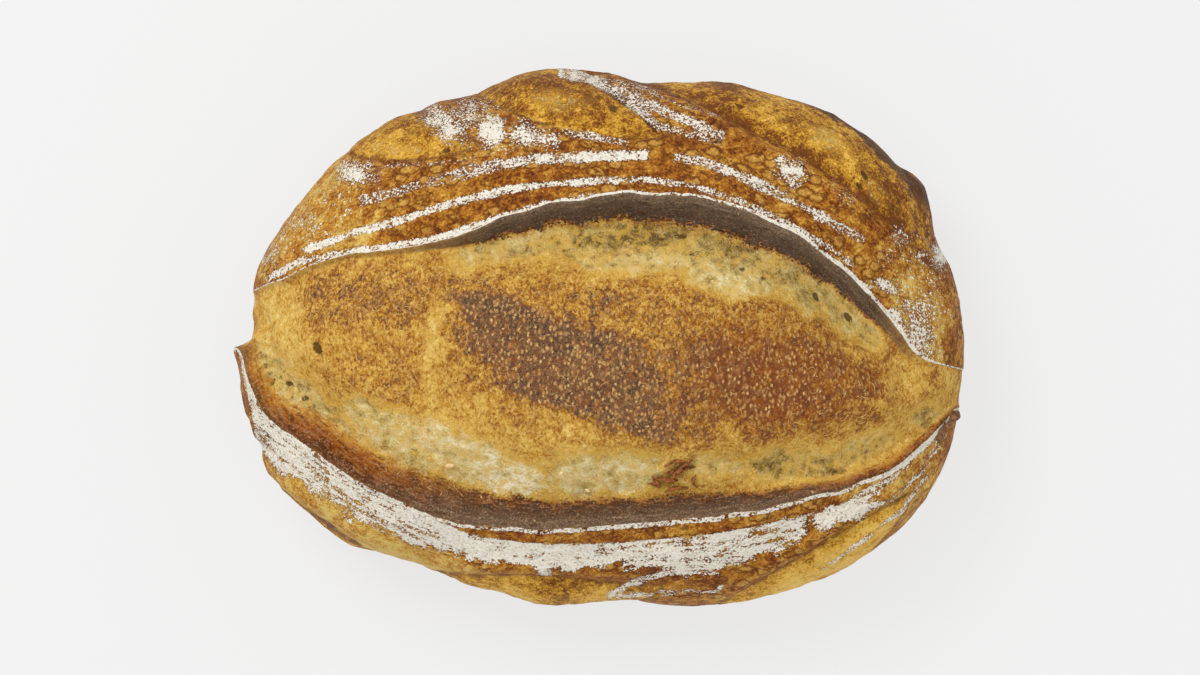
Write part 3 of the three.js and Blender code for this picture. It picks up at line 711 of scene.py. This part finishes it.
class Finish:
    """A material under construction, with its sizes in mm."""

    def __init__(self, name):
        self.material = bpy.data.materials.new(name)
        self.material.use_nodes = True
        self.tree = self.material.node_tree
        self.tree.nodes.clear()

    def node(self, kind, settings=None, inputs=None, out=0):
        node = self.tree.nodes.new(kind)
        for key, value in (settings or {}).items():
            if key == "stops":
                ramp = node.color_ramp
                while len(ramp.elements) < len(value):
                    ramp.elements.new(0.5)
                for element, (place, colour) in zip(ramp.elements, value):
                    element.position = place
                    element.color = colour
            else:
                setattr(node, key, value)
        for key, value in (inputs or {}).items():
            if isinstance(value, Signal):
                self.tree.links.new(value.socket, node.inputs[key])
            else:
                node.inputs[key].default_value = value
        return Signal(self, node.outputs[out]) if len(node.outputs) else None

    def kept(self, name):
        return self.node("ShaderNodeAttribute", {"attribute_name": name}, out=2)

    def place(self, stretch=(1, 1, 1), turn=0):
        """Object coordinates in mm, optionally stretched and turned about Z."""
        at = self.node("ShaderNodeTexCoord", out=3)
        scale = tuple(1000 * s for s in stretch)
        return self.node("ShaderNodeMapping", {}, {"Vector": at, "Scale": scale, "Rotation": (0, 0, turn)})

    def speckle(self, size, detail=3, rough=0.55, warp=0, at=None):
        inputs = {"Vector": at or self.place(), "Scale": 1 / size, "Detail": detail, "Roughness": rough}
        return self.node("ShaderNodeTexNoise", {}, {**inputs, "Distortion": warp})

    def cells(self, size, at=None, warp=None):
        """Distance to the middle of the nearest cell, with the cells bent out of shape by a noise."""
        at = at or self.place()
        if warp is not None:
            bend = {0: at, 1: warp * (0.9 * size)}
            at = self.node("ShaderNodeVectorMath", {"operation": "ADD"}, bend)
        return self.node("ShaderNodeTexVoronoi", {}, {"Vector": at, "Scale": 1 / size, "Randomness": 1.0})

    def layered(self, size, detail, rough, length):
        """Noise in thin layers that run lengthwise beside a rim, with how slowly it changes along them."""
        along_loaf = self.node("ShaderNodeSeparateXYZ", {}, {0: self.place()}, out=0)
        layers = self.node("ShaderNodeCombineXYZ", {}, {0: along_loaf * length, 1: self.kept("opened")})
        return self.speckle(size, detail, rough, at=layers)

    def step(self, value, low, high):
        ranges = {"Value": value, "From Min": low, "From Max": high}
        return self.node("ShaderNodeMapRange", {"interpolation_type": "SMOOTHSTEP"}, ranges)

    def ramp(self, value, stops):
        """Colours by value, from rows of a place on the ramp and the red, green and blue there."""
        shades = [(place, tone(*shade)) for place, *shade in stops]
        return self.node("ShaderNodeValToRGB", {"stops": shades}, {0: value})

    def blend(self, share, under, over):
        """One colour laid over another; the upper one may be plain red, green and blue."""
        over = tone(*over) if isinstance(over, tuple) else over
        return self.node("ShaderNodeMix", {"data_type": "RGBA"}, {0: share, 6: under, 7: over}, out=2)

    def close(self, inputs, height=None, deep=1.0):
        """Ends the material in a plain surface, raised by the height in mm."""
        if height is not None:
            bump = {"Height": height, "Distance": MM, "Strength": deep}
            inputs = {**inputs, "Normal": self.node("ShaderNodeBump", {}, bump)}
        shader = self.node("ShaderNodeBsdfPrincipled", {}, inputs)
        self.node("ShaderNodeOutputMaterial", {}, {"Surface": shader})
        return self.material


# Colour ramps: place on the ramp, red, green, blue.
SKIN_TONES = [
    (0.00, 232, 212, 150), (0.15, 224, 189, 104), (0.30, 212, 170, 80), (0.42, 197, 151, 62),
    (0.54, 180, 127, 44), (0.66, 155, 96, 30), (0.78, 128, 74, 32), (0.90, 110, 69, 50), (1.00, 82, 56, 46),
]
FLECK_TONES = [(0.36, 160, 108, 62), (0.48, 200, 150, 86), (0.60, 240, 204, 134)]
SIDE_CUT_TONES = [
    (0.05, 236, 194, 98), (0.30, 219, 166, 60), (0.42, 200, 149, 47), (0.54, 176, 124, 36),
    (0.68, 150, 94, 26), (0.84, 112, 62, 20),
]
# The crumb's darker stops serve as painted shade in its hollows and pits.
CRUMB_TONES = [
    (0.00, 112, 84, 36), (0.18, 146, 116, 54), (0.38, 178, 150, 82), (0.58, 206, 179, 108),
    (0.78, 227, 207, 148), (1.00, 240, 228, 190),
]
GILDED_TONES = [(0.38, 176, 116, 38), (0.47, 208, 156, 52), (0.58, 232, 196, 102)]
OLD_CRUST_TONES = [
    (0.00, 86, 40, 10), (0.22, 124, 66, 16), (0.45, 160, 99, 28), (0.65, 186, 130, 44),
    (0.85, 205, 160, 70), (1.00, 218, 184, 100),
]
BLISTER_TONES = [(0.3, 168, 112, 38), (0.7, 214, 167, 82)]
CHARRED_TONES = [
    (0.00, 104, 84, 64), (0.12, 98, 82, 68), (0.28, 92, 75, 63), (0.44, 80, 58, 42), (0.56, 92, 54, 28),
    (0.68, 136, 76, 24), (0.84, 192, 130, 42),
]
RUSTY_TONES = [
    (0.00, 104, 58, 22), (0.18, 84, 44, 16), (0.45, 138, 74, 18), (0.70, 164, 96, 24), (1.00, 202, 146, 54),
]
FLOUR_TONES = [(0.34, 208, 192, 160), (0.52, 240, 235, 222)]


class Grain:
    """Uneven fields that all parts of the crust share, and where its new skin begins."""

    def __init__(self, f):
        self.dust = f.speckle(0.5, 2, 0.6)
        self.fine = f.speckle(0.95, 4, 0.7)
        self.small = f.speckle(2.2, 3, 0.6, warp=1.4)
        self.mid = f.speckle(4.5, 3, 0.6, warp=0.5)
        self.broad = f.speckle(15, 2)
        self.curls = f.speckle(1.7, 2, 0.5, warp=2.2, at=f.place((1, 0.62, 1)))
        hair_field = f.speckle(3.2, 2, 0.5, warp=1.0)
        self.hairs = (1 - f.step(abs(hair_field - 0.5), 0.0, 0.024)) * f.step(self.fine, 0.42, 0.58)
        # Strands: painted highlights along the ridges of the curled fibres.
        self.strands = 1 - f.step(abs(self.curls - 0.5), 0.0, 0.03)
        self.mottle = self.stray(fine=1.2, curls=1.4, small=1.2, mid=1.5)
        self.frayed = self.stray(fine=2.5, mid=2.5)
        self.on_mound = f.step(f.kept("opened") + self.frayed * 0.3, -0.25, 0.25)

    def stray(self, **weights):
        """How far the named fields stray from their middle, each by its own weight."""
        return sum((getattr(self, field) - 0.5) * weight for field, weight in weights.items())


def new_skin(f, g):
    """Woolly skin, mottled from straw to dark brown, with tan flecks where it is browned the most."""
    bake = f.kept("bake")
    skin = f.ramp(bake + g.mottle * f.kept("lively") - f.kept("crumb") * 0.22, SKIN_TONES)
    # Pale hairs, and the painted highlights of the strands.
    skin = f.blend(g.hairs * 0.4 + g.strands * 0.26, skin, (234, 200, 118))
    skin = f.blend(f.kept("ruddy") * 0.44, skin, (132, 58, 2))

    deep = f.step(bake + (g.mid - 0.5) * 0.4, 0.66, 0.86)
    flecks = f.cells(1.4, f.place((1, 0.66, 1), 0.1), warp=g.mid)
    fleck = 1 - f.step(flecks + g.stray(dust=0.8, small=0.9), 0.19, 0.47)
    skin = f.blend(fleck * (1 - deep) * 0.34, skin, (232, 196, 116))
    ovals = f.cells(3.6, f.place((1, 0.55, 1), 0.1), warp=g.small)
    loop = 1 - f.step(abs(ovals - 0.34), 0.03, 0.12)
    centre = 1 - f.step(ovals, 0.10, 0.22)
    skin = f.blend((loop * 0.4 + centre * 0.6) * deep * f.step(g.mid, 0.44, 0.56), skin, (184, 136, 82))
    return f.blend(fleck * deep * 0.85, skin, f.ramp(g.small, FLECK_TONES))


def with_open_crumb(f, g, skin):
    """The skin with its open crumb: pale walls, grey-olive painted shade in the hollows, gilded where it
    thins out.
    """
    crumb, pale = f.kept("crumb"), f.kept("pale")
    hollow_shade = f.speckle(8.0, 2, 0.5, warp=0.6)
    bubbles = f.cells(3.4, warp=g.small)
    # The hollow noise and the bubble centres darken the crumb walls: painted shade in its hollows.
    wall = pale * 0.7 + (hollow_shade - 0.5) + g.stray(curls=0.8, small=0.5, mid=0.6)
    inside = f.ramp(wall + (bubbles - 0.36) * 0.6 + 0.17, CRUMB_TONES)
    honey = f.step(g.mid + (hollow_shade - 0.5) * 0.7 + (g.small - 0.5) * 0.5, 0.44, 0.62)
    inside = f.blend(honey * 0.68, inside, (212, 166, 62))
    # Painted shade: the pits at the bubble centres darkened further.
    shaded_pit = (1 - f.step(bubbles, 0.08, 0.22)) * (1 - f.step(pale + (g.mid - 0.5), 0.36, 0.55))
    inside = f.blend(shaded_pit * 0.6, inside, (112, 86, 40))
    # Pale hairs and painted strand highlights in the crumb.
    inside = f.blend(g.hairs * 0.5 + g.strands * 0.3, inside, (238, 222, 168))

    uneven = crumb + g.stray(mid=1.8, small=1.2, fine=0.8)
    gilded = f.ramp(g.curls * 0.5 + g.small * 0.5, GILDED_TONES)
    near_crumb = f.step(uneven, 0.02, 0.42) * f.step(crumb, 0.01, 0.2)
    skin = f.blend(near_crumb * (g.on_mound * 0.6 + 0.12), skin, gilded)
    skin = f.blend(f.step(uneven, 0.36, 0.72) * f.step(crumb, 0.05, 0.3), skin, inside)
    return skin, shaded_pit * crumb


def old_crust(f, g):
    """Amber blisters ringed with dark brown, and red-brown crust between them."""
    blisters = f.cells(6.4, f.place((0.8, 1.3, 1), 0.25), warp=g.mid) + (g.mid - 0.5) * 0.3
    blistered = f.step(g.broad + (g.mid - 0.5) * 0.5, 0.38, 0.46)
    dome = (1 - f.step(blisters, 0.24, 0.36)) * blistered
    ring = (1 - f.step(abs(blisters - 0.41), 0.02, 0.10)) * blistered
    tones = f.kept("tones")
    ring = ring * (1 - f.step(tones, 0.12, 0.34) * 0.85)
    mixed = g.stray(mid=1.4, broad=1.0, fine=1.4, small=1.2)
    crust = f.ramp(mixed + tones + 0.42, OLD_CRUST_TONES)
    crust = f.blend(ring * 0.7, crust, (92, 44, 12))
    return f.blend(dome * 0.85, crust, f.ramp(g.small + (g.fine - 0.5), BLISTER_TONES)), dome


def with_cut_faces(f, g, colour):
    """The faces under the rims: charred in thin layers, rusty at the ends, orange where the mound begins."""
    at_front, rust = f.kept("at_front"), f.kept("rust")
    layers = f.layered(0.9, 3, 0.65, 0.14)
    face = f.kept("face") + g.stray(fine=0.9, mid=0.9)
    foot = f.step(face, 0.76, 1.1) * 0.36 * (1 - at_front)
    charred = f.ramp(face * (at_front * 0.30 + 0.40) + foot + (layers - 0.5) * 1.2, CHARRED_TONES)
    charred = f.blend(at_front * 0.35, charred, (104, 66, 36))
    charred = f.blend(rust, charred, f.ramp(face + (layers - 0.5) * 0.9, RUSTY_TONES))
    charred = f.blend(f.step(layers + (g.dust - 0.5) * 0.4, 0.52, 0.64) * 0.4, charred, (150, 118, 88))
    cracks = 1 - f.step(layers + (g.small - 0.5) * 0.4, 0.36, 0.46)
    charred = f.blend(cracks * 0.5, charred, (46, 30, 20))
    charred = f.blend(f.step(g.fine, 0.52, 0.64) * 0.6, charred, (168, 142, 114))
    ledge = 1 - f.step(abs(f.kept("opened") - 2.2 + (g.mid - 0.5) * 1.4), 0.12, 0.4)
    spark = (ledge + (1 - f.step(face, 0.0, 0.35)) * 0.4) * f.step(g.dust, 0.5, 0.6) * (1 - rust)
    charred = f.blend(spark * 0.4, charred, (196, 172, 134))
    return f.blend(f.kept("char") * g.on_mound * (1 - f.step(face, 0.95, 1.25)), colour, charred)


def with_flour(f, g, colour, dome):
    """Flour that breaks up into grains between the blisters and streaks along the front crust."""
    flour, opened, edging = f.kept("flour"), f.kept("opened"), f.kept("edging")
    grains = f.cells(0.85, warp=g.fine)
    specks = 1 - f.step(f.cells(1.9, warp=g.mid) + (g.dust - 0.5) * 0.6, 0.20, 0.36)
    specks = specks * f.step(g.mid, 0.40, 0.54)
    streaks = f.layered(1.3, 3, 0.6, 0.098)
    dusting = flour * (1 - f.kept("bald")) * (0.88 - dome * 0.25)
    dusting = dusting + f.kept("at_front") * (streaks - 0.5) * f.step(flour, 0.1, 0.4) * 1.9
    dusting = dusting + specks * f.kept("bubbly") * 0.8
    on_rim = 1 - f.step(abs(opened + edging * 0.8 + g.frayed * 0.16), edging * 0.5, edging * 1.3)
    dusting = (dusting + on_rim * f.step(g.mid + g.small, 0.74, 0.98) * 0.9) * (1 - f.step(opened, -0.1, 0.4))
    loose = (0.42 - grains) * 0.8 + g.stray(dust=1.0, fine=1.5)
    cover = f.step(dusting + loose, 0.50, 0.66)
    # Painted shade: the crust darkened to dark brown in the gaps between the flour grains.
    shaded_gaps = f.step(dusting, 0.25, 0.6) * (1 - cover)
    colour = f.blend(shaded_gaps * 0.45, colour, (100, 58, 24))
    return f.blend(cover * 0.96, colour, f.ramp(g.fine, FLOUR_TONES)), cover


def crust_finish():
    f = Finish("baked crust")
    g = Grain(f)
    leaf = f.kept("leaf")
    on_leaf = f.step(leaf + g.frayed, -0.4, 0.4)
    cut_skin = f.ramp(f.kept("bake") + g.mottle * 0.75 + (g.broad - 0.5) * 0.8, SIDE_CUT_TONES)
    skin, shaded_pit = with_open_crumb(f, g, f.blend(on_leaf, new_skin(f, g), cut_skin))
    # Painted shade: the small holes in the skin darkened to dark brown.
    holes = f.step(f.kept("hole") + (g.fine - 0.5) * 0.8, 0.25, 0.7)
    skin = f.blend(holes * 0.85, skin, (76, 48, 20))

    crust, dome = old_crust(f, g)
    # Painted shade in the groove round the edge of each leaf-shaped cut.
    seam_shade = (1 - f.step(abs(leaf + g.frayed * 0.5), 0.2, 1.2)) * f.step(g.mid, 0.35, 0.6)
    colour = f.blend(seam_shade * 0.7, f.blend(on_leaf, crust, skin), (104, 56, 20))
    colour = f.blend(g.on_mound, colour, skin)
    # Dark lines at the cut edges: partly burnt crust, partly painted shadow under the standing edges.
    singed_and_shaded = f.step(f.kept("burnt") + g.stray(fine=0.8, mid=0.8), 0.2, 0.8)
    colour = f.blend(singed_and_shaded * 0.85, colour, (66, 36, 14))
    colour = with_cut_faces(f, g, colour)
    colour, cover = with_flour(f, g, colour, dome)

    height = g.stray(small=1.1, fine=0.9) + dome * (1 - g.on_mound) * 0.7
    rough = 0.55 + cover * 0.4 + g.on_mound * 0.16
    surface_inputs = {"Base Color": colour, "Roughness": rough, "Specular IOR Level": 0.1}
    return f.close(surface_inputs, height + cover * 0.15 - shaded_pit * 0.5, 0.9)


def plain_finish(name, light, dark, size):
    """A finish mottled between two tones, in patches of that size."""
    f = Finish(name)
    mottle = f.speckle(size, 4, 0.6)
    colour = f.ramp(mottle, [(0.35, *dark), (0.65, *light)])
    return f.close({"Base Color": colour, "Roughness": 0.6, "Specular IOR Level": 0.3}, mottle * 0.3)


def floor_finish():
    """A pale floor that glows a little, so that it stays even under the soft light."""
    matt = {"Base Color": (0.14, 0.14, 0.14, 1), "Roughness": 1.0, "Specular IOR Level": 0.0}
    glow = {"Emission Color": (1, 1, 1, 1), "Emission Strength": 0.715}
    return Finish("pale floor").close({**matt, **glow})


# ---------------------------------------------------------------- pieces

def add_piece(name, mesh, material):
    """A piece of the loaf that takes the place of the plain solid."""
    piece = bpy.data.objects.new(name, mesh)
    bpy.context.scene.collection.objects.link(piece)
    mesh.materials.append(material)
    for polygon in mesh.polygons:
        polygon.use_smooth = True
    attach(piece, "root")
    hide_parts("loaf")
    return piece


def mesh_from(bm, name):
    """The finished mesh in metres, from a bmesh in mm."""
    bmesh.ops.recalc_face_normals(bm, faces=bm.faces)
    bmesh.ops.scale(bm, verts=bm.verts, vec=(MM, MM, MM))
    mesh = bpy.data.meshes.new(name)
    bm.to_mesh(mesh)
    bm.free()
    return mesh


class Surface:
    """Finds the loaf's surface from straight above."""

    def __init__(self, mesh):
        corners = [v.co / MM for v in mesh.vertices]
        self.tree = BVHTree.FromPolygons(corners, [tuple(f.vertices) for f in mesh.polygons])

    def under(self, x, y):
        """Point and normal of the surface that shows at a place of the view from above."""
        z = CROWN
        for _ in range(SIGHTINGS):
            k = (EYE_HEIGHT - z) / SIGHT
            hit, normal, _, _ = self.tree.ray_cast(Vector((x * k, y * k, 2 * CROWN)), Vector((0, 0, -1)))
            if hit is None:
                return None, None
            z = hit.z
        return hit, normal


def tube(bm, path, radii, sides):
    """A closed tube of rings round the path."""
    rings = []
    for i, (centre, radius) in enumerate(zip(path, radii)):
        way = (path[min(i + 1, len(path) - 1)] - path[max(i - 1, 0)]).normalized()
        turn = way.to_track_quat("Z", "Y").to_matrix()
        ring = []
        for k in range(sides):
            a = 2 * math.pi * k / sides
            ring.append(bm.verts.new(centre + turn @ Vector((math.cos(a), math.sin(a), 0)) * radius))
        rings.append(ring)
    for low, high in zip(rings, rings[1:]):
        for k in range(sides):
            bm.faces.new((low[k], low[(k + 1) % sides], high[(k + 1) % sides], high[k]))
    bm.faces.new(list(reversed(rings[0])))
    bm.faces.new(rings[-1])


def curled_tip():
    """The burnt end of the front rim, curled up past the loaf's right end."""
    bm = bmesh.new()
    path, radii = [], []
    for i in range(TIP_RINGS):
        t = i / (TIP_RINGS - 1)
        curl = max(t - 0.6, 0) / 0.4
        path.append(Vector(TIP_START) + Vector(TIP_RUN) * t + Vector(TIP_CURL) * curl)
        slim = mix(TIP_ROOT, TIP_NECK, smooth(t, 0, 0.55))
        radii.append(mix(slim, TIP_KNOB, smooth(t, 0.7, 0.88)) * (1 - 0.7 * smooth(t, 0.93, 1)))
    tube(bm, path, radii, TIP_SIDES)
    points = np.array([v.co for v in bm.verts])
    rough = 0.35 * noise(points, 2.4, 61) + 0.2 * noise(points, 1.1, 62)
    for vert, push in zip(bm.verts, rough):
        vert.co.z += push
        vert.co.x += 0.6 * push
    return mesh_from(bm, "curled_tip")


def grain(bm, at, normal, length, width, height, spin, seed):
    """A rounded grain lying on the surface, pointed at one end."""
    made = bmesh.ops.create_icosphere(bm, subdivisions=3, radius=1)["verts"]
    flat = normal.to_track_quat("Z", "Y").to_matrix() @ Matrix.Rotation(spin, 3, "Z")
    for vert in made:
        x, y, z = vert.co
        taper = 1 - 0.45 * max(x, 0) ** 1.5
        bump = 1 + 0.08 * math.sin(5 * x + seed) * math.cos(4 * y + 2 * seed)
        local = Vector((x * length / 2, y * width / 2 * taper * bump, z * height / 2 * taper * bump))
        vert.co = at + normal * (height * 0.35) + flat @ local


def seeds(surface):
    bm = bmesh.new()
    for x, y, length, width, spin in SEEDS:
        hit, normal = surface.under(x, y)
        grain(bm, hit, normal, length, width, width * 0.55, math.radians(spin), x)
    return mesh_from(bm, "seeds")


def crumbs(surface):
    """Loose specks of crumb in the hollows and on the crust."""
    rng = np.random.default_rng(7)
    bm = bmesh.new()
    made = 0
    while made < CRUMB_COUNT:
        x, y = rng.uniform(*CRUMB_ALONG), rng.uniform(*CRUMB_ACROSS)
        size = rng.uniform(*CRUMB_RADII)
        squash = rng.uniform(0.5, 1, 3)
        hit, normal = surface.under(x, y)
        if hit is None or normal.z < 0.5:
            continue
        made += 1
        for vert in bmesh.ops.create_icosphere(bm, subdivisions=2, radius=size)["verts"]:
            jitter = 1 + 0.25 * math.sin(3.1 * vert.co.x / size + x) * math.cos(2.7 * vert.co.y / size + y)
            local = Vector(c * k * jitter for c, k in zip(vert.co, squash))
            vert.co = hit + normal * (0.25 * size) + local
    return mesh_from(bm, "crumbs")


def creep(at, normal, heading, distance):
    """The next place along the surface in that heading."""
    step = Vector((math.cos(heading), math.sin(heading), 0)) * distance
    return at + step - normal * step.dot(normal)


def threads(surface):
    """Fine curled strands of torn skin that stand off the new skin and the edges of the crumb."""
    rng = np.random.default_rng(11)
    bm = bmesh.new()
    made = 0
    while made < THREAD_COUNT:
        x, y = rng.uniform(*THREAD_ALONG), rng.uniform(*THREAD_ACROSS)
        inside = min(y - along(SEEN_FRONT, x), along(SEEN_BACK, x) - y)
        near_edge = math.exp(-((inside - 15) / 7) ** 2)
        if rng.random() > 0.16 + 0.84 * near_edge or inside < 10:
            continue
        hit, normal = surface.under(x, y)
        if hit is None:
            continue
        made += 1
        heading, curl = rng.uniform(0, 2 * math.pi), rng.uniform(-1.3, 1.3)
        length, lift = rng.uniform(*THREAD_LENGTHS), rng.uniform(*THREAD_LIFTS)
        radius = rng.uniform(*THREAD_RADII)
        path, radii = [], []
        at = hit + normal * 0.05
        for i in range(THREAD_RINGS):
            t = i / (THREAD_RINGS - 1)
            path.append(at + normal * (lift * math.sin(math.pi * t) * 1.2))
            radii.append(radius * (1 - 0.7 * abs(2 * t - 1) ** 3))
            at = creep(at, normal, heading + curl * 2 * t, length / (THREAD_RINGS - 1))
        tube(bm, path, radii, THREAD_SIDES)
    return mesh_from(bm, "threads")


def torn_scrap(surface):
    """Dark torn curls of skin that lie beside the front cut face."""
    bm = bmesh.new()
    for x, y, length, thick, heading, curl in SCRAP:
        hit, normal = surface.under(x, y)
        at = hit + normal * 0.2
        path, radii = [], []
        for i in range(SCRAP_RINGS):
            t = i / (SCRAP_RINGS - 1)
            path.append(at + normal * (SCRAP_LIFT * length * t * (1.3 - t)))
            at = creep(at, normal, math.radians(heading) + curl * t * 2, length / (SCRAP_RINGS - 1))
            knotted = 1 + 0.22 * math.sin(9 * t + x)
            radii.append(thick * (0.35 + 0.65 * math.sin(math.pi * t ** 0.7)) * knotted)
        tube(bm, path, radii, SCRAP_SIDES)
    points = np.array([v.co for v in bm.verts])
    rough = 0.3 * noise(points, 1.8, 63, 2)
    for vert, push in zip(bm.verts, rough):
        vert.co += Vector((push, -0.6 * push, push))
    return mesh_from(bm, "torn_scrap")


skin_mesh = shape_loaf(loaf_mesh())
add_piece("loaf_crust", skin_mesh, crust_finish())
surface = Surface(skin_mesh)
add_piece("curled_tip", curled_tip(), plain_finish("burnt crust", (150, 104, 62), (60, 38, 24), 1.6))
add_piece("torn_scrap", torn_scrap(surface), plain_finish("torn skin", (172, 100, 42), (70, 36, 14), 1.3))
add_piece("seeds", seeds(surface), plain_finish("hulled seed", (236, 210, 154), (206, 168, 104), 2.0))
add_piece("crumbs", crumbs(surface), plain_finish("loose crumb", (222, 186, 122), (164, 112, 56), 1.5))
add_piece("threads", threads(surface), plain_finish("dry strands", (226, 192, 122), (186, 134, 62), 6.0))


# ---------------------------------------------------------------- floor, light and camera

FLOOR_HALF = 20
ROOM_LIGHT = 0.93
LAMP_AT, LAMP_AIM, LAMP_SIZE, LAMP_WATTS = (-0.9, 1.0, 1.9), (0, 0, 0.05), 1.1, 24
SENSOR, LENS = 36, 241.3


def lay_floor():
    bm = bmesh.new()
    bmesh.ops.create_grid(bm, x_segments=2, y_segments=2, size=FLOOR_HALF)
    mesh = bpy.data.meshes.new("floor")
    bm.to_mesh(mesh)
    bm.free()
    mesh.materials.append(floor_finish())
    floor = bpy.data.objects.new("floor", mesh)
    bpy.context.scene.collection.objects.link(floor)


def light_room():
    world = bpy.data.worlds.new("soft room")
    world.use_nodes = True
    world.node_tree.nodes["Background"].inputs["Color"].default_value = (1, 1, 1, 1)
    world.node_tree.nodes["Background"].inputs["Strength"].default_value = ROOM_LIGHT
    bpy.context.scene.world = world

    lamp = bpy.data.lights.new("window light", "AREA")
    lamp.shape = "DISK"
    lamp.size = LAMP_SIZE
    lamp.energy = LAMP_WATTS
    window = bpy.data.objects.new("window light", lamp)
    window.location = LAMP_AT
    window.rotation_euler = (Vector(LAMP_AIM) - window.location).to_track_quat("-Z", "Y").to_euler()
    window.visible_camera = False
    bpy.context.scene.collection.objects.link(window)


def set_camera():
    """Looks straight down from the eye."""
    camera = bpy.data.cameras.new("camera")
    camera.sensor_width = SENSOR
    camera.lens = LENS
    camera.clip_end = 100
    eye = bpy.data.objects.new("camera", camera)
    eye.location = (0, 0, EYE_HEIGHT * MM)
    bpy.context.scene.collection.objects.link(eye)
    bpy.context.scene.camera = eye
    bpy.context.scene.view_settings.view_transform = "Standard"


lay_floor()
light_room()
set_camera()
